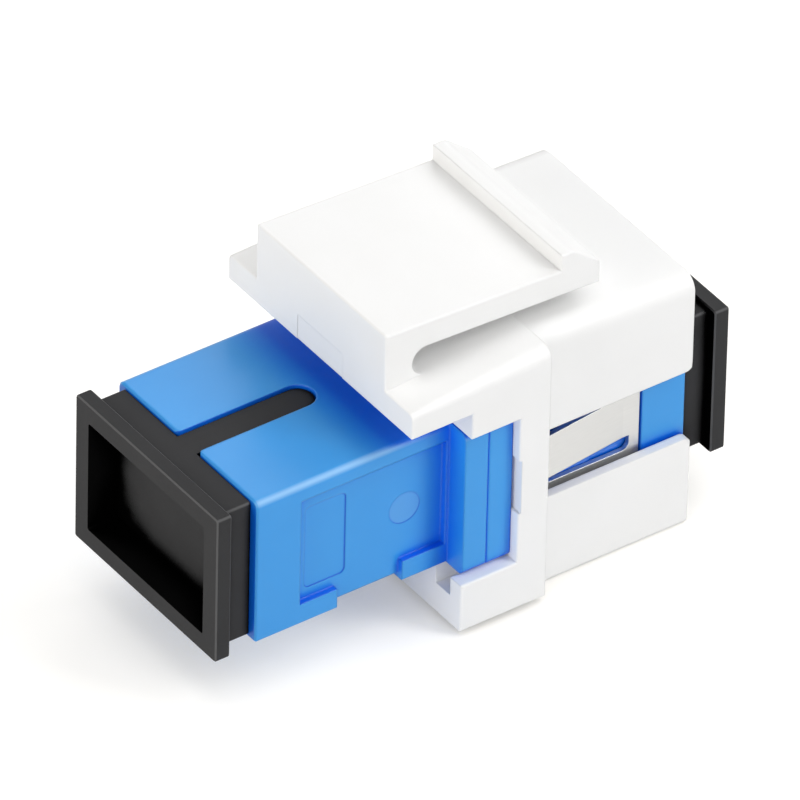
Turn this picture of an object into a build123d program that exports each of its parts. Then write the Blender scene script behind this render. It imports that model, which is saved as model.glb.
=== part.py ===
"""Fibre keystone jack: an SC simplex adapter clipped into a snap-in panel housing, a dust cap in each port.

Millimetres. +Z is up, +Y points to the user's side of the panel, X is the width.
The origin is the middle of the adapter, on the fibre axis.
"""

import os

from build123d import *

os.makedirs("parts", exist_ok=True)

# Adapter shells: two alike halves, welded at the middle of their flange
shell_width = 13.0
shell_height = 9.4
shell_length = 14.1
shell_long_edge_radius = 0.4
shell_bottom_edge_radius = 0.12
shell_mouth_chamfer = 0.1
flange_width = 15.9
flange_height = 9.5
flange_thickness = 1.55
flange_corner_radius = 0.45
flange_edge_chamfer = 0.08
port_width = 9.2
port_height = 7.6
port_corner_radius = 0.4
keyway_width = 2.0
keyway_length = 8.15
keyway_mouth_radius = 0.3

# Clip pocket in each side of a shell, and the channel under it
pocket_depth = 0.4
pocket_height = 7.0
pocket_centre_z = 0.1
pocket_end = 11.2
pocket_ledge = 0.2
pocket_tab_radius = 0.35
channel_start = 4.5
channel_width = 4.25
channel_depth = 0.35

# Marks that the mould leaves on the pocket floor
pin_mark_depth = 0.03
pin_mark_radius = 1.0
pin_mark_y = 4.17
pin_mark_z = -0.12
insert_mark_depth = 0.06
insert_mark_length = 2.66
insert_mark_height = 5.45
insert_mark_y = 9.35
insert_mark_z = -0.06
insert_mark_radius = 0.35

# Sleeve holder with two connector hooks, one in each shell
holder_plate_width = 10.2
holder_plate_height = 8.2
holder_plate_thickness = 1.0
holder_plate_clearance = 0.05
holder_plate_corner_radius = 0.5
holder_tube_radius = 2.4
holder_lip_length = 0.4
holder_lip_bore_radius = 1.45
hook_outer_x = 3.7
hook_thickness = 0.7
hook_width = 3.0
hook_reach = 7.4
hook_barb_height = 0.45
hook_barb_length = 1.1
hook_barb_flat = 0.35

# Split ceramic sleeve that lines up the two ferrules
ferrule_radius = 1.25
sleeve_wall = 0.35
sleeve_length = 11.4
sleeve_slit = 0.45
sleeve_edge_chamfer = 0.08
sleeve_float = 0.1
sleeve_end_clearance = 0.05

# Spring clip bent from sheet, round the bottom and the sides of the front shell
sheet_thickness = 0.3
sheet_clearance = 0.03
clip_end_clearance = 0.12
clip_bend_radius = 0.45
tang_width = 2.85
tang_slot = 0.9
tang_root_margin = 0.65
tang_flare = 0.8
tang_tip_gap = 0.05
clip_front_strip = 1.4

# Dust cap
cap_flange_width = 13.3
cap_flange_height = 9.6
cap_flange_thickness = 0.95
cap_flange_corner_radius = 0.2
cap_edge_chamfer = 0.08
cap_neck_width = 11.9
cap_neck_height = 9.0
cap_neck_length = 1.67
cap_neck_corner_radius = 0.2
cap_seat_clearance = 0.05
cap_recess_width = 10.85
cap_recess_height = 7.2
cap_recess_depth = 2.0
cap_recess_corner_radius = 0.15
plug_clearance = 0.1
plug_length = 8.2
plug_side_wall = 0.7
plug_top_wall = 0.8
plug_corner_radius = 0.35
plug_lead_in = 0.25
key_clearance = 0.1
key_drop = 0.2

# Panel housing: the ring behind the panel, one moulding with the front body and the latch
ring_width = 17.2
ring_bottom_z = -7.9
soft_edge_radius = 0.12
seat_y = 3.5
strut_clearance = 0.03
block_front_y = -2.1
flange_clearance = 0.05
tooth_clearance = 0.2
tooth_front_y = -1.6
hood_front_y = -5.55
hood_bottom_z = 6.65
hood_front_top_z = 8.25
hood_back_top_z = 8.9
hood_front_corner_radius = 0.35
hood_back_corner_radius = 0.85
hood_recess_width = 4.2
hood_recess_depth = 0.03
strut_relief_height = 3.6
strut_relief_depth = 0.15
strut_relief_z = 0.3
tang_pocket_depth = 0.25
block_notch_width = 1.3
block_notch_inner_x = 6.3
block_notch_height = 1.2
block_notch_depth = 1.5

# Front body, which passes through the panel
front_width = 14.5
front_seat_top_z = 8.78
front_end_top_z = 8.4
front_bottom_z = -8.3
front_end_y = 14.05
front_top_radius = 1.15
front_bottom_radius = 0.3
front_end_chamfer = 0.15
adapter_side_clearance = 0.2
adapter_top_clearance = 0.1
side_window_top_z = 2.15
side_window_bottom_z = -2.45
side_window_corner_radius = 0.55
panel_gap = 2.4
catch_groove_width = 9.0
catch_groove_depth = 1.0

# Latch arm, which bends down while the jack is pushed into the panel
arm_width = 12.0
arm_root_top_z = 11.9
arm_end_top_z = 11.31
arm_thickness = 1.7
arm_root_wall = 1.75
slot_floor_z = 8.42
arm_end_y = 8.4
arm_end_drop = 0.2
ridge_back_radius = 0.7
ridge_height = 1.03
ridge_flat = 0.8

# How close an edge's middle is to the plane it is picked on
near = 0.001

# Worked out from the sizes above
holder_tube_bore_radius = ferrule_radius + sleeve_wall + sleeve_float
holder_tube_end = sleeve_length / 2 + sleeve_end_clearance
strut_front_y = flange_thickness + strut_clearance
adapter_bore_width = shell_width + 2 * adapter_side_clearance
adapter_bore_height = shell_height + 2 * adapter_top_clearance
cap_neck_y = shell_length + cap_seat_clearance
cap_flange_y = cap_neck_y + cap_neck_length
cap_face_y = cap_flange_y + cap_flange_thickness
plug_floor_y = cap_face_y - cap_recess_depth
plug_width = port_width - 2 * plug_clearance
plug_height = port_height - 2 * plug_clearance
key_top_z = shell_height / 2 - key_drop
key_width = keyway_width - 2 * key_clearance
catch_y = seat_y + panel_gap


# Rear half of the adapter
with BuildPart() as adapter_rear_half:
    with BuildSketch(Plane.XZ):
        Rectangle(shell_width, shell_height)
    extrude(amount=shell_length)
    long_edges = adapter_rear_half.edges().filter_by(Axis.Y)
    fillet(long_edges.group_by(Axis.Z)[-1], radius=shell_long_edge_radius)
    fillet(adapter_rear_half.edges().filter_by(Axis.Y).group_by(Axis.Z)[0], radius=shell_bottom_edge_radius)
    chamfer(adapter_rear_half.faces().sort_by(Axis.Y)[0].edges(), length=shell_mouth_chamfer)

    # Flange, which takes half of the thickness that the housing grips
    with BuildSketch(Plane.XZ):
        RectangleRounded(flange_width, flange_height, flange_corner_radius)
    extrude(amount=flange_thickness)
    flange_rim = adapter_rear_half.faces().filter_by(Axis.Y).sort_by(Axis.Y)[-1].outer_wire().edges()
    chamfer(flange_rim, length=flange_edge_chamfer)

    # Port, and the pocket at the middle that holds the sleeve holder's plate
    with BuildSketch(Plane.XZ):
        RectangleRounded(port_width, port_height, port_corner_radius)
    extrude(amount=shell_length, mode=Mode.SUBTRACT)
    with BuildSketch(Plane.XZ):
        RectangleRounded(
            holder_plate_width + 2 * holder_plate_clearance,
            holder_plate_height + 2 * holder_plate_clearance,
            holder_plate_corner_radius + holder_plate_clearance,
        )
    extrude(amount=holder_plate_thickness + holder_plate_clearance, mode=Mode.SUBTRACT)

    # Keyway through the top wall, open at the mouth and rounded at its end
    with BuildSketch(Plane.XY.offset(port_height / 2 - port_corner_radius)):
        with BuildLine():
            slot_end_y = -shell_length + keyway_length
            slot_side = keyway_width / 2
            mouth_x = slot_side + keyway_mouth_radius
            mouth_y = -shell_length + keyway_mouth_radius
            Line((-mouth_x, -shell_length), (mouth_x, -shell_length))
            TangentArc((mouth_x, -shell_length), (slot_side, mouth_y), tangent=(-1, 0))
            Line((slot_side, mouth_y), (slot_side, slot_end_y - slot_side))
            ThreePointArc(
                (slot_side, slot_end_y - slot_side), (0, slot_end_y), (-slot_side, slot_end_y - slot_side)
            )
            Line((-slot_side, slot_end_y - slot_side), (-slot_side, mouth_y))
            TangentArc((-slot_side, mouth_y), (-mouth_x, -shell_length), tangent=(0, -1))
        make_face()
    extrude(amount=shell_height / 2, mode=Mode.SUBTRACT)

    # Clip pockets, open at the bottom over the channel for the clip's base
    pocket_floor_x = shell_width / 2 - pocket_depth
    pocket_near_y = -(flange_thickness + pocket_ledge)
    pocket_low_z = pocket_centre_z - pocket_height / 2
    channel_near_y = -channel_start
    channel_far_y = -(channel_start + channel_width)
    with BuildSketch(Plane.YZ.offset(-shell_width / 2)):
        with BuildLine() as pocket_line:
            Polyline(
                (-pocket_end, pocket_low_z),
                (-pocket_end, pocket_low_z + pocket_height),
                (pocket_near_y, pocket_low_z + pocket_height),
                (pocket_near_y, pocket_low_z),
                (channel_near_y, pocket_low_z),
                (channel_near_y, -shell_height / 2),
                (channel_far_y, -shell_height / 2),
                (channel_far_y, pocket_low_z),
                close=True,
            )
        pocket_face = make_face()
        tab_corners = pocket_face.vertices().filter_by_position(
            Axis.X, channel_far_y, channel_near_y
        ).filter_by_position(Axis.Y, pocket_low_z, pocket_low_z)
        fillet(tab_corners, radius=pocket_tab_radius)
    extrude(amount=pocket_depth, mode=Mode.SUBTRACT)
    with BuildSketch(Plane.YZ.offset(shell_width / 2)):
        add(pocket_face)
    extrude(amount=-pocket_depth, mode=Mode.SUBTRACT)
    with Locations((0, (channel_near_y + channel_far_y) / 2, -shell_height / 2)):
        Box(
            shell_width, channel_width, channel_depth,
            align=(Align.CENTER, Align.CENTER, Align.MIN), mode=Mode.SUBTRACT,
        )

    # Mould marks on both pocket floors: an ejector pin's disc and an insert's outline
    for side in (-1, 1):
        with BuildSketch(Plane.YZ.offset(side * pocket_floor_x)):
            with Locations((-pin_mark_y, pin_mark_z)):
                Circle(pin_mark_radius)
        extrude(amount=-side * pin_mark_depth, mode=Mode.SUBTRACT)
        with BuildSketch(Plane.YZ.offset(side * pocket_floor_x)):
            with Locations((-insert_mark_y, insert_mark_z)):
                RectangleRounded(insert_mark_length, insert_mark_height, insert_mark_radius)
        extrude(amount=-side * insert_mark_depth, mode=Mode.SUBTRACT)

with BuildPart() as adapter_front_half:
    mirror(adapter_rear_half.part, about=Plane.XZ)

# Sleeve holder with its two hooks, built for the rear port
with BuildPart() as sleeve_holder_rear:
    with BuildSketch(Plane.XZ):
        RectangleRounded(holder_plate_width, holder_plate_height, holder_plate_corner_radius)
    extrude(amount=holder_plate_thickness)
    with BuildSketch(Plane.XZ):
        Circle(holder_tube_radius)
    extrude(amount=holder_tube_end + holder_lip_length)
    with BuildSketch(Plane.XZ):
        Circle(holder_tube_bore_radius)
    extrude(amount=holder_tube_end, mode=Mode.SUBTRACT)
    with BuildSketch(Plane.XZ):
        Circle(holder_lip_bore_radius)
    extrude(amount=holder_tube_end + holder_lip_length, mode=Mode.SUBTRACT)

    # Hooks: a spring arm with a barb that points at the axis
    hook_inner_x = hook_outer_x - hook_thickness
    barb_x = hook_inner_x - hook_barb_height
    barb_y = -hook_reach + hook_barb_length
    with BuildSketch(Plane.XY.offset(-hook_width / 2)):
        with BuildLine():
            Polyline(
                (hook_inner_x, -holder_plate_thickness),
                (hook_outer_x, -holder_plate_thickness),
                (hook_outer_x, -hook_reach),
                (hook_inner_x, -hook_reach),
                (barb_x, barb_y - hook_barb_flat),
                (barb_x, barb_y),
                (hook_inner_x, barb_y),
                close=True,
            )
        make_face()
        mirror(about=Plane.YZ)
    extrude(amount=hook_width)

with BuildPart() as sleeve_holder_front:
    mirror(sleeve_holder_rear.part, about=Plane.XZ)

# Split sleeve, with its slit at the top
with BuildPart() as alignment_sleeve:
    with BuildSketch(Plane.XZ):
        Circle(ferrule_radius + sleeve_wall)
        Circle(ferrule_radius, mode=Mode.SUBTRACT)
        Rectangle(
            sleeve_slit, ferrule_radius + 2 * sleeve_wall,
            align=(Align.CENTER, Align.MIN), mode=Mode.SUBTRACT,
        )
    extrude(amount=sleeve_length / 2, both=True)
    outer_rims = alignment_sleeve.edges().filter_by(GeomType.CIRCLE).filter_by(
        lambda rim: rim.radius > ferrule_radius + sleeve_wall / 2
    )
    chamfer(outer_rims, length=sleeve_edge_chamfer)

# Spring clip on the front shell
clip_inner_x = pocket_floor_x + sheet_clearance
clip_outer_x = clip_inner_x + sheet_thickness
clip_start_y = flange_thickness + pocket_ledge + clip_end_clearance
clip_end_y = pocket_end - clip_end_clearance
clip_height = pocket_height - 2 * sheet_clearance
clip_base_z = -shell_height / 2 + channel_depth - sheet_clearance
tang_root_y = clip_end_y - tang_root_margin
tang_tip_y = seat_y - tang_pocket_depth + tang_tip_gap
window_start_y = clip_start_y + clip_front_strip
with BuildPart() as mounting_clip:
    # Band that goes down one side, under the shell and up the other
    with BuildSketch(Plane.XZ.offset(-(channel_start + clip_end_clearance))):
        with BuildLine() as band_line:
            Polyline(
                (-clip_outer_x, pocket_centre_z),
                (-clip_outer_x, clip_base_z - sheet_thickness),
                (clip_outer_x, clip_base_z - sheet_thickness),
                (clip_outer_x, pocket_centre_z),
            )
            fillet(band_line.vertices().group_by(Axis.Y)[0], radius=clip_bend_radius)
            offset(
                amount=-sheet_thickness, side=Side.LEFT, closed=True
            )
        make_face()
    extrude(amount=-(channel_width - 2 * clip_end_clearance))

    # Side plates, each with a window round its tang
    for side in (-1, 1):
        with BuildSketch(Plane.YZ.offset(side * clip_inner_x)):
            with Locations(((clip_start_y + clip_end_y) / 2, pocket_centre_z)):
                RectangleRounded(clip_end_y - clip_start_y, clip_height, clip_bend_radius / 2)
        extrude(amount=side * sheet_thickness)
        with BuildSketch(Plane.YZ.offset(side * clip_inner_x)):
            with Locations(((window_start_y + tang_root_y) / 2, pocket_centre_z)):
                RectangleRounded(
                    tang_root_y - window_start_y, tang_width + 2 * tang_slot, tang_slot / 2.1
                )
        extrude(amount=side * sheet_thickness, mode=Mode.SUBTRACT)

    # Tangs that flare outward and press on the back of the housing's strut
    with BuildSketch(Plane.XY.offset(pocket_centre_z - tang_width / 2)):
        with BuildLine():
            Polyline(
                (clip_inner_x, tang_root_y + tang_slot / 2),
                (clip_outer_x, tang_root_y + tang_slot / 2),
                (clip_outer_x, tang_root_y - tang_slot / 2),
                (clip_outer_x + tang_flare, tang_tip_y),
                (clip_inner_x + tang_flare, tang_tip_y),
                (clip_inner_x, tang_root_y - tang_slot / 2),
                close=True,
            )
        make_face()
        mirror(about=Plane.YZ)
    extrude(amount=tang_width)

# Dust cap of the rear port
with BuildPart() as dust_cap_rear:
    with BuildSketch(Plane.XZ.offset(cap_flange_y)):
        RectangleRounded(cap_flange_width, cap_flange_height, cap_flange_corner_radius)
    extrude(amount=cap_flange_thickness)
    chamfer(dust_cap_rear.faces().filter_by(Axis.Y).edges(), length=cap_edge_chamfer)
    with BuildSketch(Plane.XZ.offset(cap_neck_y)):
        RectangleRounded(cap_neck_width, cap_neck_height, cap_neck_corner_radius)
    extrude(amount=cap_neck_length)

    # Hollow plug, with a key that fills the keyway
    with BuildSketch(Plane.XZ.offset(cap_neck_y - plug_length)):
        RectangleRounded(plug_width, plug_height, plug_corner_radius)
    extrude(amount=plug_length)
    plug_mouth = dust_cap_rear.faces().filter_by(Axis.Y).sort_by(Axis.Y)[-1]
    chamfer(plug_mouth.edges(), length=plug_lead_in)
    key_tip_y = -shell_length + keyway_length - key_clearance
    with BuildSketch(Plane.XY.offset(port_height / 2 - plug_top_wall)):
        with BuildLine():
            Polyline(
                (-key_width / 2, key_tip_y - key_width / 2),
                (-key_width / 2, -cap_neck_y),
                (key_width / 2, -cap_neck_y),
                (key_width / 2, key_tip_y - key_width / 2),
            )
            ThreePointArc(
                (key_width / 2, key_tip_y - key_width / 2),
                (0, key_tip_y),
                (-key_width / 2, key_tip_y - key_width / 2),
            )
        make_face()
    extrude(amount=key_top_z - port_height / 2 + plug_top_wall)
    with BuildSketch(Plane.XZ.offset(cap_neck_y - plug_length)):
        Rectangle(plug_width - 2 * plug_side_wall, plug_height - 2 * plug_top_wall)
    extrude(amount=plug_length, mode=Mode.SUBTRACT)

    # Shallow well in the outer face
    with BuildSketch(Plane.XZ.offset(plug_floor_y)):
        RectangleRounded(cap_recess_width, cap_recess_height, cap_recess_corner_radius)
    extrude(amount=cap_recess_depth, mode=Mode.SUBTRACT)

with BuildPart() as dust_cap_front:
    mirror(dust_cap_rear.part, about=Plane.XZ)

# Panel housing
with BuildPart() as keystone_housing:
    # Ring up to the hood, as one profile across the width: a C that opens to the cable side
    with BuildSketch(Plane.YZ.offset(-ring_width / 2)):
        with BuildLine():
            block_top_z = -flange_height / 2 - flange_clearance
            tooth_z = flange_height / 2 + tooth_clearance
            Polyline(
                (seat_y, hood_bottom_z),
                (seat_y, ring_bottom_z),
                (block_front_y, ring_bottom_z),
                (block_front_y, block_top_z),
                (strut_front_y, block_top_z),
                (strut_front_y, tooth_z),
                (tooth_front_y, tooth_z),
                (tooth_front_y, hood_bottom_z),
                close=True,
            )
        make_face()
    extrude(amount=ring_width)

    # Hood, whose roof rises to the user's side while its corners get rounder
    hood_sections = (
        (hood_front_y, hood_front_top_z, hood_front_corner_radius),
        (seat_y, hood_back_top_z, hood_back_corner_radius),
    )
    for section_y, top_z, corner_radius in hood_sections:
        with BuildSketch(Plane.XZ.offset(-section_y)):
            with Locations((0, (top_z + hood_bottom_z) / 2)):
                section = Rectangle(ring_width, top_z - hood_bottom_z)
            fillet(section.vertices().group_by(Axis.Y)[-1], radius=corner_radius)
    loft(ruled=True)

    # Front body, which tapers to the user's side at the top and ends in a small bevel
    with BuildSketch(Plane.YZ.offset(-front_width / 2)):
        with BuildLine():
            Polyline(
                (seat_y, front_bottom_z),
                (seat_y, front_seat_top_z),
                (front_end_y, front_end_top_z),
                (front_end_y, front_bottom_z),
                close=True,
            )
        make_face()
    extrude(amount=front_width)
    front_sides = keystone_housing.edges().filter_by(
        lambda edge: abs(abs(edge.center().X) - front_width / 2) < near and edge.center().Y > seat_y + near
    )
    fillet(front_sides.group_by(Axis.Z)[-1], radius=front_top_radius)
    fillet(front_sides.group_by(Axis.Z)[0], radius=front_bottom_radius)
    front_end = keystone_housing.faces().filter_by(Axis.Y).sort_by(Axis.Y)[-1]
    chamfer(front_end.edges(), length=front_end_chamfer)

    # Hole for the adapter, and the two side windows that open to the user's side
    with BuildSketch(Plane.XZ.offset(-strut_front_y)):
        Rectangle(adapter_bore_width, adapter_bore_height)
    extrude(amount=-(front_end_y - strut_front_y), mode=Mode.SUBTRACT)
    with BuildSketch(Plane.YZ.offset(-front_width / 2)):
        with BuildLine():
            corner_y = front_end_y - side_window_corner_radius
            upper_corner_z = side_window_top_z + side_window_corner_radius
            lower_corner_z = side_window_bottom_z - side_window_corner_radius
            Line((seat_y, side_window_bottom_z), (corner_y, side_window_bottom_z))
            TangentArc((corner_y, side_window_bottom_z), (front_end_y, lower_corner_z), tangent=(1, 0))
            Line((front_end_y, lower_corner_z), (front_end_y, upper_corner_z))
            TangentArc((front_end_y, upper_corner_z), (corner_y, side_window_top_z), tangent=(0, -1))
            Polyline((corner_y, side_window_top_z), (seat_y, side_window_top_z), (seat_y, side_window_bottom_z))
        make_face()
    extrude(amount=front_width, mode=Mode.SUBTRACT)

    # Latch arm on its root wall: side profile with the slot's round end
    with BuildSketch(Plane.YZ.offset(-arm_width / 2)):
        with BuildLine():
            arm_slope = (arm_root_top_z - arm_end_top_z) / (arm_end_y - hood_front_y)
            catch_top_z = arm_root_top_z - arm_slope * (catch_y - hood_front_y)
            slot_top_z = arm_root_top_z - arm_thickness
            slot_radius = (slot_top_z - slot_floor_z) / 2
            slot_centre_y = hood_front_y + arm_root_wall + slot_radius
            end_low_z = slot_top_z - arm_slope * (arm_end_y - slot_centre_y)
            Polyline(
                (slot_centre_y, slot_floor_z),
                (slot_centre_y, hood_bottom_z),
                (hood_front_y, hood_bottom_z),
                (hood_front_y, arm_root_top_z),
                (catch_y, catch_top_z),
                (catch_y, catch_top_z + ridge_height),
                (catch_y + ridge_flat, catch_top_z + ridge_height),
                (arm_end_y, arm_end_top_z - arm_end_drop),
                (arm_end_y, end_low_z),
                (slot_centre_y, slot_top_z),
            )
            ThreePointArc(
                (slot_centre_y, slot_top_z),
                (slot_centre_y - slot_radius, (slot_top_z + slot_floor_z) / 2),
                (slot_centre_y, slot_floor_z),
            )
        arm_face = make_face()
        arm_corners = arm_face.vertices()
        fillet(
            arm_corners.filter_by_position(Axis.X, catch_y + ridge_flat, catch_y + ridge_flat),
            radius=ridge_back_radius,
        )
    extrude(amount=arm_width)

    # Soft edges: the sides of the ring, the cable side of hood and arm, and the sides of the arm
    edges = keystone_housing.edges()
    ring_sides = edges.filter_by(
        lambda edge: abs(abs(edge.center().X) - ring_width / 2) < near
        and edge.center().Z < hood_front_top_z - hood_front_corner_radius - near
        and edge.center().Y < seat_y - near
    )
    front_face = keystone_housing.faces().filter_by(Axis.Y).sort_by(Axis.Y)[0]
    front_rim = front_face.outer_wire().edges().filter_by(lambda edge: edge.center().Z > hood_bottom_z + near)
    arm_sides = edges.filter_by(
        lambda edge: abs(abs(edge.center().X) - arm_width / 2) < near
        and edge.center().Y > hood_front_y + near
        and edge.center().Z > slot_top_z + arm_thickness / 2
    )
    fillet(ring_sides + front_rim + arm_sides, radius=soft_edge_radius)

    # Pocket in the strut for the tip of each tang, inside the side window
    with BuildSketch(Plane.XZ.offset(-seat_y)):
        with Locations((0, (side_window_top_z + side_window_bottom_z) / 2)):
            Rectangle(front_width, side_window_top_z - side_window_bottom_z)
    extrude(amount=tang_pocket_depth, mode=Mode.SUBTRACT)

    # Small reliefs of the moulding
    with Locations((0, hood_front_y, hood_bottom_z)):
        Box(
            hood_recess_width, hood_recess_depth, hood_front_top_z - hood_bottom_z,
            align=(Align.CENTER, Align.MIN, Align.MIN), mode=Mode.SUBTRACT,
        )
    for side in (-1, 1):
        with Locations((side * ring_width / 2, strut_front_y, strut_relief_z)):
            Box(
                ring_width - adapter_bore_width, strut_relief_depth, strut_relief_height,
                align=(Align.CENTER, Align.MIN, Align.CENTER), mode=Mode.SUBTRACT,
            )
        with Locations((side * (block_notch_inner_x + block_notch_width / 2), block_front_y, block_top_z)):
            Box(
                block_notch_width, block_notch_depth, block_notch_height,
                align=(Align.CENTER, Align.MIN, Align.MAX), mode=Mode.SUBTRACT,
            )

    # Groove under the front body that takes the panel's lower edge
    with Locations((0, seat_y, front_bottom_z)):
        Box(
            catch_groove_width, panel_gap, catch_groove_depth,
            align=(Align.CENTER, Align.MIN, Align.MIN), mode=Mode.SUBTRACT,
        )

pieces = {
    "keystone_housing": keystone_housing,
    "adapter_rear_half": adapter_rear_half,
    "adapter_front_half": adapter_front_half,
    "sleeve_holder_rear": sleeve_holder_rear,
    "sleeve_holder_front": sleeve_holder_front,
    "alignment_sleeve": alignment_sleeve,
    "mounting_clip": mounting_clip,
    "dust_cap_rear": dust_cap_rear,
    "dust_cap_front": dust_cap_front,
}
for name, piece in pieces.items():
    piece.part.label = name
    export_step(piece.part, f"parts/{name}.step")
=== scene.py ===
import math

import bpy
from mathutils import Matrix, Vector


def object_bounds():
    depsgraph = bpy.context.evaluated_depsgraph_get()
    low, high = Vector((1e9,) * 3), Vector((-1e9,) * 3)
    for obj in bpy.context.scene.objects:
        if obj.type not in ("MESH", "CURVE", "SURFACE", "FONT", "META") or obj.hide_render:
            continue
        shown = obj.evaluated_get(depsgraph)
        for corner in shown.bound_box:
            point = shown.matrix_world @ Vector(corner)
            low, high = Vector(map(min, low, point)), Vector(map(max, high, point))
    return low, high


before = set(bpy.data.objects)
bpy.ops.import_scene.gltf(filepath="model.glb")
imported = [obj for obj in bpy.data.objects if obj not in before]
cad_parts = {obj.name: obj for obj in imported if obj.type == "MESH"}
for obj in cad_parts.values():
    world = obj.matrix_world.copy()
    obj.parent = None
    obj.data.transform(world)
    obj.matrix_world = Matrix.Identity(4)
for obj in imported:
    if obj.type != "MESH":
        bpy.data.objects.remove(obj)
cad_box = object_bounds()

# Camera
# A product shot on a long lens from the near right, above the cable end of the jack. The lens is long
# enough that the edges of the snap-in body stay nearly parallel, as they do in the photograph.
view_azimuth = math.radians(53.982)
view_elevation = math.radians(37.815)
camera_roll = math.radians(1.3445)
camera_distance = 0.930
sensor_width = 36
lens_length = 778.26
nearest_seen = 0.05
farthest_seen = 20
target_right = -0.0001249
target_up = 0.0011271
towards_camera = Vector(
    (
        math.sin(view_azimuth) * math.cos(view_elevation),
        -math.cos(view_azimuth) * math.cos(view_elevation),
        math.sin(view_elevation),
    )
)
level_right = Vector((math.cos(view_azimuth), math.sin(view_azimuth), 0))
level_up = towards_camera.cross(level_right)
picture_right = level_right * math.cos(camera_roll) + level_up * math.sin(camera_roll)
picture_up = level_up * math.cos(camera_roll) - level_right * math.sin(camera_roll)
camera_data = bpy.data.cameras.new("product_camera")
camera_data.sensor_width = sensor_width
camera_data.lens = lens_length
camera_data.clip_start = nearest_seen
camera_data.clip_end = farthest_seen
camera = bpy.data.objects.new("product_camera", camera_data)
bpy.context.scene.collection.objects.link(camera)
turn = Matrix((picture_right, picture_up, towards_camera)).transposed()
camera_place = picture_right * target_right + picture_up * target_up + towards_camera * camera_distance
camera.matrix_world = Matrix.Translation(camera_place) @ turn.to_4x4()
bpy.context.scene.camera = camera

# Studio: sweep, world and lamps
# The jack stands on a white sweep of painted board and is lit by softboxes all round it. The board is
# drawn a little brighter to the camera so that it reads as white, and it still takes the shadow. That
# brightening is dimmed near the jack, a painted contact shadow, and the board is tinted warm to the
# camera against the blue light that the adapter throws on it.
def linear(hex_colour):
    """An sRGB colour such as "#F0F0F0" as the linear RGBA that the shaders take."""
    channels = [int(hex_colour[i : i + 2], 16) / 255 for i in (1, 3, 5)]
    return [c / 12.92 if c <= 0.04045 else ((c + 0.055) / 1.055) ** 2.4 for c in channels] + [1]


def add_node(tree, kind, values=None, links=None, **settings):
    """Adds one node, with its settings, the values of its sockets and the outputs linked to them."""
    node = tree.nodes.new("ShaderNode" + kind)
    for name, value in settings.items():
        setattr(node, name, value)
    for socket, value in (values or {}).items():
        node.inputs[socket].default_value = value
    for socket, output in (links or {}).items():
        tree.links.new(output, node.inputs[socket])
    return node


def seen_by_eye(tree):
    """A factor of 1 for the camera's rays and for those that metal and glass pass on, else 0."""
    ray = add_node(tree, "LightPath")
    through = add_node(
        tree,
        "Math",
        links={0: ray.outputs["Is Glossy Ray"], 1: ray.outputs["Is Transmission Ray"]},
        operation="MAXIMUM",
    )
    seen = add_node(
        tree,
        "Math",
        links={0: ray.outputs["Is Camera Ray"], 1: through.outputs[0]},
        operation="MAXIMUM",
    )
    return seen.outputs[0]


sweep_width = 3
shade_reach = 0.006
room_light = 0.06
backdrop_white = 1
bpy.context.scene.view_settings.view_transform = "Standard"

world = bpy.data.worlds.new("white_room")
world.use_nodes = True
bpy.context.scene.world = world
tree = world.node_tree
tree.nodes.clear()
room = add_node(tree, "Background", values={"Color": linear("#FFFFFF"), "Strength": room_light})
backdrop = add_node(tree, "Background", values={"Color": linear("#FFFFFF"), "Strength": backdrop_white})
either = add_node(
    tree, "MixShader", links={0: seen_by_eye(tree), 1: room.outputs[0], 2: backdrop.outputs[0]}
)
add_node(tree, "OutputWorld", links={"Surface": either.outputs[0]})

for obj in bpy.context.selected_objects:
    obj.select_set(False)
bpy.ops.mesh.primitive_plane_add(size=sweep_width, location=(0, 0, cad_box[0].z))
sweep = bpy.context.object
sweep.name = "white_sweep"
bpy.ops.object.transform_apply(location=True, rotation=True, scale=True)
board = bpy.data.materials.new("painted_white_board")
board.use_nodes = True
tree = board.node_tree
tree.nodes.clear()
paint = add_node(tree, "BsdfDiffuse", values={"Color": linear("#EBEBEB")})
shaded = add_node(tree, "BsdfDiffuse", values={"Color": linear("#CBC9C4")})
# Painted shadow: ambient occlusion near the jack dims the board's glow to the camera.
under = add_node(tree, "AmbientOcclusion", values={"Distance": shade_reach}, samples=16)
fill = add_node(
    tree,
    "MapRange",
    values={"From Max": 0.85, "To Min": 0.18, "To Max": 0.64},
    links={"Value": under.outputs["AO"]},
)
glow = add_node(
    tree,
    "Emission",
    values={"Color": linear("#FFFFFF")},
    links={"Strength": fill.outputs["Result"]},
)
bright = add_node(tree, "AddShader", links={0: shaded.outputs[0], 1: glow.outputs[0]})
either = add_node(
    tree, "MixShader", links={0: seen_by_eye(tree), 1: paint.outputs[0], 2: bright.outputs[0]}
)
add_node(tree, "OutputMaterial", links={"Surface": either.outputs[0]})
sweep.data.materials.append(board)

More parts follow.
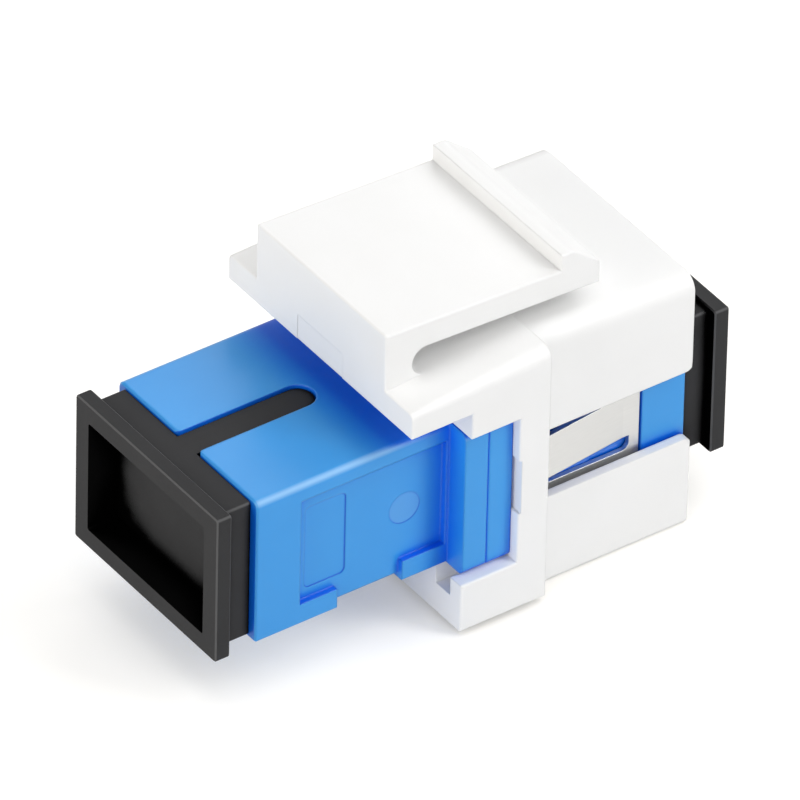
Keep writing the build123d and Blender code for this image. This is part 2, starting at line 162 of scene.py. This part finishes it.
# The key stands where the long upper edge mirrors it. The fill is warm, against the blue that the
# adapter throws on the white faces around it.
for name, towards, distance, width, height, power, tint in [
    ("overhead", (0.00, 0.00, 1.00), 0.40, 0.30, 0.30, 0.49, "#FFFFFF"),
    ("key_softbox", (0.60, 0.46, 0.63), 0.40, 0.13, 0.32, 0.83, "#FFFFFF"),
    ("front_softbox", (0.80, -0.58, 0.15), 0.40, 0.30, 0.30, 0.50, "#FFFFFF"),
    ("cable_end_fill", (0.00, -1.00, 0.25), 0.40, 0.30, 0.30, 1.00, "#FFFCF7"),
    ("far_softbox", (-0.55, 0.60, 0.55), 0.40, 0.20, 0.20, 0.32, "#FFFFFF"),
    ("rear_strip", (0.00, 0.75, 0.66), 0.45, 0.10, 0.40, 0.28, "#FFFFFF"),
]:
    lamp_data = bpy.data.lights.new(name, "AREA")
    lamp_data.shape = "RECTANGLE"
    lamp_data.size = width
    lamp_data.size_y = height
    lamp_data.energy = power
    lamp_data.color = linear(tint)[:3]
    lamp = bpy.data.objects.new(name, lamp_data)
    bpy.context.scene.collection.objects.link(lamp)
    lamp.location = Vector(towards).normalized() * distance
    lamp.rotation_euler = Vector(towards).to_track_quat("Z", "Y").to_euler()

# Keystone housing
# The snap-in body, ring and latch arm are one moulding in white ABS. The mould has a fine spark-eroded
# satin, so the faces are even and soft, and only the small radii on the edges catch the light.
housing_edge_radius = 0.00012
flow_patch = 0.004
grains_per_metre = 7000
spark_depth = 0.000006
white_abs = bpy.data.materials.new("white_abs_fine_satin")
white_abs.use_nodes = True
tree = white_abs.node_tree
surface = tree.nodes["Principled BSDF"]
coords = add_node(tree, "TexCoord")
# Flow in the melt leaves patches about 4 mm across that differ by a hair in whiteness.
flow = add_node(
    tree,
    "TexNoise",
    values={"Scale": 1 / flow_patch, "Detail": 2, "Roughness": 0.5},
    links={"Vector": coords.outputs["Object"]},
)
whites = add_node(
    tree,
    "Mix",
    values={6: linear("#F0F0EF"), 7: linear("#F4F4F4")},
    links={0: flow.outputs["Fac"]},
    data_type="RGBA",
)
# The spark erosion is about 0.05 mm in life and is drawn at 0.14 mm, the finest that shows.
grain = add_node(
    tree,
    "TexNoise",
    values={"Scale": grains_per_metre, "Detail": 3, "Roughness": 0.6},
    links={"Vector": coords.outputs["Object"]},
)
sheen = add_node(
    tree, "MapRange", values={"To Min": 0.40, "To Max": 0.52}, links={"Value": grain.outputs["Fac"]}
)
edges = add_node(tree, "Bevel", values={"Radius": housing_edge_radius}, samples=6)
relief = add_node(
    tree,
    "Bump",
    values={"Strength": 0.25, "Distance": spark_depth},
    links={"Height": grain.outputs["Fac"], "Normal": edges.outputs["Normal"]},
)
surface.inputs["IOR"].default_value = 1.54
tree.links.new(whites.outputs[2], surface.inputs["Base Color"])
tree.links.new(sheen.outputs["Result"], surface.inputs["Roughness"])
tree.links.new(relief.outputs["Normal"], surface.inputs["Normal"])
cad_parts["keystone_housing"].material_slots[0].material = white_abs

# Adapter halves
# The two halves of the optical adapter are moulded in blue PBT and welded together at the flange. The
# moulding is a shade glossier than the housing and takes a clear highlight along its long edges, which
# a painted highlight on the rounded upper edges makes broader.
shell_edge_radius = 0.00018
flow_patches_per_metre = 300
grains_per_metre = 6000
painted_hollow_reach = 0.004
painted_step_reach = 0.00012
pin_mark_centre = (0, 0.00417, -0.00012)
pin_mark_rim = 0.00103
pin_mark_full = 0.00095
shell_relief = 0.000004
blue_pbt = bpy.data.materials.new("blue_pbt_semi_gloss")
blue_pbt.use_nodes = True
tree = blue_pbt.node_tree
surface = tree.nodes["Principled BSDF"]
coords = add_node(tree, "TexCoord")
# Pigment is mixed in unevenly, which leaves patches about 3 mm across.
flow = add_node(
    tree,
    "TexNoise",
    values={"Scale": flow_patches_per_metre, "Detail": 2, "Roughness": 0.5},
    links={"Vector": coords.outputs["Object"]},
)
blues = add_node(
    tree,
    "Mix",
    values={6: linear("#2A94E1"), 7: linear("#329AE5")},
    links={0: flow.outputs["Fac"]},
    data_type="RGBA",
)
# Painted shade: where ambient occlusion finds the surface shut in, the colour is mixed to a deeper
# blue.
# That goes for the broad hollows under the housing and, at a finer scale, for the foot of every step.
painted_shade_ao = add_node(tree, "AmbientOcclusion", values={"Distance": painted_hollow_reach}, samples=16)
painted_hollow_shade = add_node(
    tree,
    "MapRange",
    values={"From Min": 0.52, "From Max": 0.84},
    links={"Value": painted_shade_ao.outputs["AO"]},
)
painted_step_ao = add_node(tree, "AmbientOcclusion", values={"Distance": painted_step_reach}, samples=12)
painted_step_shade = add_node(
    tree,
    "MapRange",
    values={"From Min": 0.55, "From Max": 0.97},
    links={"Value": painted_step_ao.outputs["AO"]},
)
outside_painted_shade = add_node(
    tree, "Math", links={0: painted_hollow_shade.outputs["Result"], 1: painted_step_shade.outputs["Result"]}, operation="MINIMUM"
)
painted_shade_colour = add_node(
    tree,
    "Mix",
    values={6: linear("#0268E4")},
    links={0: outside_painted_shade.outputs[0], 7: blues.outputs[2]},
    data_type="RGBA",
)
# The satin of the mould is about 0.04 mm in life and is drawn at 0.17 mm, the finest that shows.
grain = add_node(
    tree,
    "TexNoise",
    values={"Scale": grains_per_metre, "Detail": 2, "Roughness": 0.5},
    links={"Vector": coords.outputs["Object"]},
)
sheen = add_node(
    tree, "MapRange", values={"To Min": 0.32, "To Max": 0.40}, links={"Value": grain.outputs["Fac"]}
)
edges = add_node(tree, "Bevel", values={"Radius": shell_edge_radius}, samples=8)
relief = add_node(
    tree,
    "Bump",
    values={"Strength": 0.08, "Distance": shell_relief},
    links={"Height": grain.outputs["Fac"], "Normal": edges.outputs["Normal"]},
)
surface.inputs["IOR"].default_value = 1.5
surface.inputs["Specular IOR Level"].default_value = 0.45
# The ejector pins are duller than the rest of the mould, so their discs look paler.
axis_parts = add_node(tree, "SeparateXYZ", links={"Vector": coords.outputs["Object"]})
from_middle = add_node(tree, "Math", links={0: axis_parts.outputs["Y"]}, operation="ABSOLUTE")
on_floor = add_node(
    tree, "CombineXYZ", links={"Y": from_middle.outputs[0], "Z": axis_parts.outputs["Z"]}
)
from_pin = add_node(
    tree,
    "VectorMath",
    values={1: pin_mark_centre},
    links={0: on_floor.outputs["Vector"]},
    operation="DISTANCE",
)
disc = add_node(
    tree,
    "MapRange",
    values={"From Min": pin_mark_rim, "From Max": pin_mark_full, "To Max": 0.06},
    links={"Value": from_pin.outputs["Value"]},
)
marked = add_node(
    tree,
    "Mix",
    values={7: linear("#E4EEF4")},
    links={0: disc.outputs["Result"], 6: painted_shade_colour.outputs[2]},
    data_type="RGBA",
)
# Painted highlight: the rounded upper edges are painted paler, most where they face halfway between the
# top and the side, and not inside the painted shade.
form = add_node(tree, "NewGeometry")
facing = add_node(tree, "SeparateXYZ", links={"Vector": form.outputs["Normal"]})
sideways = add_node(tree, "Math", links={0: facing.outputs["X"]}, operation="ABSOLUTE")
halfway = add_node(
    tree, "Math", links={0: sideways.outputs[0], 1: facing.outputs["Z"]}, operation="MULTIPLY"
)
painted_edge_highlight = add_node(
    tree,
    "MapRange",
    values={"From Min": 0.08, "From Max": 0.48, "To Max": 0.34},
    links={"Value": halfway.outputs[0]},
)
highlight_outside_shade = add_node(
    tree, "Math", links={0: painted_edge_highlight.outputs["Result"], 1: outside_painted_shade.outputs[0]}, operation="MULTIPLY"
)
edge_highlighted = add_node(
    tree,
    "Mix",
    values={7: linear("#BFE0F2")},
    links={0: highlight_outside_shade.outputs[0], 6: marked.outputs[2]},
    data_type="RGBA",
)
tree.links.new(edge_highlighted.outputs[2], surface.inputs["Base Color"])
tree.links.new(sheen.outputs["Result"], surface.inputs["Roughness"])
tree.links.new(relief.outputs["Normal"], surface.inputs["Normal"])
for name in ("adapter_rear_half", "adapter_front_half"):
    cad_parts[name].material_slots[0].material = blue_pbt

# Dust caps
# The caps are moulded in soft charcoal PE and held by their plugs. The surface is a dull satin, greyer
# than black where it faces the lamps, and painted near black as shade down in the recess.
flow_patches_per_metre = 400
grains_per_metre = 5500
painted_well_reach = 0.0035
wall_inside = -0.0010
wall_outside = -0.0004
cap_relief = 0.000006
charcoal_pe = bpy.data.materials.new("charcoal_pe_dull_satin")
charcoal_pe.use_nodes = True
tree = charcoal_pe.node_tree
surface = tree.nodes["Principled BSDF"]
coords = add_node(tree, "TexCoord")
flow = add_node(
    tree,
    "TexNoise",
    values={"Scale": flow_patches_per_metre, "Detail": 3, "Roughness": 0.5},
    links={"Vector": coords.outputs["Object"]},
)
greys = add_node(
    tree,
    "Mix",
    values={6: linear("#383839"), 7: linear("#3D3D3E")},
    links={0: flow.outputs["Fac"]},
    data_type="RGBA",
)
# Painted highlight: the rounded edges are painted lighter than the faces. The fourth powers of a
# normal's parts add up to 1 on a face that is square to an axis, and to half of that on the middle of
# an edge.
form = add_node(tree, "NewGeometry")
squares = add_node(
    tree,
    "VectorMath",
    links={0: form.outputs["Normal"], 1: form.outputs["Normal"]},
    operation="MULTIPLY",
)
squareness = add_node(
    tree,
    "VectorMath",
    links={0: squares.outputs["Vector"], 1: squares.outputs["Vector"]},
    operation="DOT_PRODUCT",
)
painted_edge_highlight = add_node(
    tree,
    "MapRange",
    values={"From Min": 0.90, "From Max": 0.52, "To Max": 0.48},
    links={"Value": squareness.outputs["Value"]},
)
edge_highlighted = add_node(
    tree,
    "Mix",
    values={7: linear("#747475")},
    links={0: painted_edge_highlight.outputs["Result"], 6: greys.outputs[2]},
    data_type="RGBA",
)
# Painted shade: the dull skin's little white reflection is taken away, and the colour painted near
# black, in the corners of the well and the gaps.
painted_shade_ao = add_node(tree, "AmbientOcclusion", values={"Distance": painted_well_reach}, samples=16)
painted_well_shade = add_node(
    tree,
    "MapRange",
    values={"From Min": 0.57, "From Max": 0.74},
    links={"Value": painted_shade_ao.outputs["AO"]},
)
# Painted shade: the walls of the well, which face the cap's middle and each other, are painted darker
# than its floor.
from_axis = add_node(
    tree, "VectorMath", values={1: (1, 0, 1)}, links={0: coords.outputs["Object"]}, operation="MULTIPLY"
)
outwards = add_node(
    tree,
    "VectorMath",
    links={0: from_axis.outputs["Vector"], 1: form.outputs["Normal"]},
    operation="DOT_PRODUCT",
)
painted_wall_shade = add_node(
    tree,
    "MapRange",
    values={"From Min": wall_inside, "From Max": wall_outside, "To Min": 0.1},
    links={"Value": outwards.outputs["Value"]},
)
shown = add_node(
    tree, "Math", links={0: painted_well_shade.outputs["Result"], 1: painted_wall_shade.outputs["Result"]}, operation="MULTIPLY"
)
specular_with_painted_shade = add_node(tree, "MapRange", values={"To Max": 0.04}, links={"Value": shown.outputs[0]})
painted_shade_colour = add_node(
    tree,
    "Mix",
    values={6: linear("#030303")},
    links={0: shown.outputs[0], 7: edge_highlighted.outputs[2]},
    data_type="RGBA",
)
# The satin of the mould is about 0.06 mm in life and is drawn at 0.18 mm, the finest that shows.
grain = add_node(
    tree,
    "TexNoise",
    values={"Scale": grains_per_metre, "Detail": 3, "Roughness": 0.6},
    links={"Vector": coords.outputs["Object"]},
)
sheen = add_node(
    tree, "MapRange", values={"To Min": 0.50, "To Max": 0.64}, links={"Value": grain.outputs["Fac"]}
)
relief = add_node(
    tree,
    "Bump",
    values={"Strength": 0.3, "Distance": cap_relief},
    links={"Height": grain.outputs["Fac"]},
)
surface.inputs["IOR"].default_value = 1.51
tree.links.new(painted_shade_colour.outputs[2], surface.inputs["Base Color"])
tree.links.new(specular_with_painted_shade.outputs["Result"], surface.inputs["Specular IOR Level"])
tree.links.new(sheen.outputs["Result"], surface.inputs["Roughness"])
tree.links.new(relief.outputs["Normal"], surface.inputs["Normal"])
for name in ("dust_cap_rear", "dust_cap_front"):
    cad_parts[name].material_slots[0].material = charcoal_pe

# Mounting clip
# A saddle of 0.3 mm stainless spring strip, stamped and bent over the adapter behind its flange. The
# strip keeps the fine lines that the rolls leave along its length, which blur what it reflects.
sheet_edge_radius = 0.00006
roll_lines_per_metre = 9000
roll_line_depth = 0.000002
spring_steel = bpy.data.materials.new("rolled_stainless_strip")
spring_steel.use_nodes = True
tree = spring_steel.node_tree
surface = tree.nodes["Principled BSDF"]
coords = add_node(tree, "TexCoord")
# Roll lines are 0.1 mm apart here, against 0.02 mm in life, and run along the adapter.
along = add_node(
    tree,
    "Mapping",
    values={"Scale": (1, 0.03, 1)},
    links={"Vector": coords.outputs["Object"]},
)
lines = add_node(
    tree,
    "TexNoise",
    values={"Scale": roll_lines_per_metre, "Detail": 3, "Roughness": 0.6},
    links={"Vector": along.outputs["Vector"]},
)
steels = add_node(
    tree,
    "Mix",
    values={6: linear("#C6C6C6"), 7: linear("#D0D0CF")},
    links={0: lines.outputs["Fac"]},
    data_type="RGBA",
)
sheen = add_node(
    tree, "MapRange", values={"To Min": 0.26, "To Max": 0.40}, links={"Value": lines.outputs["Fac"]}
)
edges = add_node(tree, "Bevel", values={"Radius": sheet_edge_radius}, samples=6)
relief = add_node(
    tree,
    "Bump",
    values={"Strength": 0.3, "Distance": roll_line_depth},
    links={"Height": lines.outputs["Fac"], "Normal": edges.outputs["Normal"]},
)
surface.inputs["Metallic"].default_value = 1
tree.links.new(steels.outputs[2], surface.inputs["Base Color"])
tree.links.new(sheen.outputs["Result"], surface.inputs["Roughness"])
tree.links.new(relief.outputs["Normal"], surface.inputs["Normal"])
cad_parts["mounting_clip"].material_slots[0].material = spring_steel

# Sleeve holders
# Two natural PBT mouldings inside the adapter hold the sleeve and carry the hooks that catch the plugs.
# Unpigmented PBT is a milky off-white with a dull, slightly waxy face.
holder_edge_radius = 0.00008
flow_patches_per_metre = 500
grains_per_metre = 6000
holder_relief = 0.000005
natural_pbt = bpy.data.materials.new("natural_pbt_waxy")
natural_pbt.use_nodes = True
tree = natural_pbt.node_tree
surface = tree.nodes["Principled BSDF"]
coords = add_node(tree, "TexCoord")
flow = add_node(
    tree,
    "TexNoise",
    values={"Scale": flow_patches_per_metre, "Detail": 3, "Roughness": 0.5},
    links={"Vector": coords.outputs["Object"]},
)
creams = add_node(
    tree,
    "Mix",
    values={6: linear("#DEDACE"), 7: linear("#E8E5DC")},
    links={0: flow.outputs["Fac"]},
    data_type="RGBA",
)
# The wax-like skin is about 0.05 mm coarse in life and is drawn at 0.17 mm, the finest that shows.
grain = add_node(
    tree,
    "TexNoise",
    values={"Scale": grains_per_metre, "Detail": 3, "Roughness": 0.6},
    links={"Vector": coords.outputs["Object"]},
)
sheen = add_node(
    tree, "MapRange", values={"To Min": 0.45, "To Max": 0.58}, links={"Value": grain.outputs["Fac"]}
)
edges = add_node(tree, "Bevel", values={"Radius": holder_edge_radius}, samples=6)
relief = add_node(
    tree,
    "Bump",
    values={"Strength": 0.25, "Distance": holder_relief},
    links={"Height": grain.outputs["Fac"], "Normal": edges.outputs["Normal"]},
)
surface.inputs["IOR"].default_value = 1.5
tree.links.new(creams.outputs[2], surface.inputs["Base Color"])
tree.links.new(sheen.outputs["Result"], surface.inputs["Roughness"])
tree.links.new(relief.outputs["Normal"], surface.inputs["Normal"])
for name in ("sleeve_holder_rear", "sleeve_holder_front"):
    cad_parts[name].material_slots[0].material = natural_pbt

# Alignment sleeve
# The split sleeve is zirconia, sintered and then ground round. Grinding leaves rings too fine to feel,
# and the ceramic under them is dense, white and glossy.
rings_per_metre = 9000
grinding_depth = 0.000002
zirconia = bpy.data.materials.new("ground_zirconia")
zirconia.use_nodes = True
tree = zirconia.node_tree
surface = tree.nodes["Principled BSDF"]
coords = add_node(tree, "TexCoord")
across = add_node(
    tree,
    "Mapping",
    values={"Scale": (0.05, 1, 0.05)},
    links={"Vector": coords.outputs["Object"]},
)
# The rings are about 0.01 mm apart in life and are drawn at 0.11 mm, the finest that shows.
rings = add_node(
    tree,
    "TexNoise",
    values={"Scale": rings_per_metre, "Detail": 2, "Roughness": 0.5},
    links={"Vector": across.outputs["Vector"]},
)
ceramics = add_node(
    tree,
    "Mix",
    values={6: linear("#F2EFE8"), 7: linear("#F7F5F0")},
    links={0: rings.outputs["Fac"]},
    data_type="RGBA",
)
sheen = add_node(
    tree, "MapRange", values={"To Min": 0.12, "To Max": 0.22}, links={"Value": rings.outputs["Fac"]}
)
relief = add_node(
    tree,
    "Bump",
    values={"Strength": 0.15, "Distance": grinding_depth},
    links={"Height": rings.outputs["Fac"]},
)
surface.inputs["IOR"].default_value = 2.1
tree.links.new(ceramics.outputs[2], surface.inputs["Base Color"])
tree.links.new(sheen.outputs["Result"], surface.inputs["Roughness"])
tree.links.new(relief.outputs["Normal"], surface.inputs["Normal"])
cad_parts["alignment_sleeve"].material_slots[0].material = zirconia
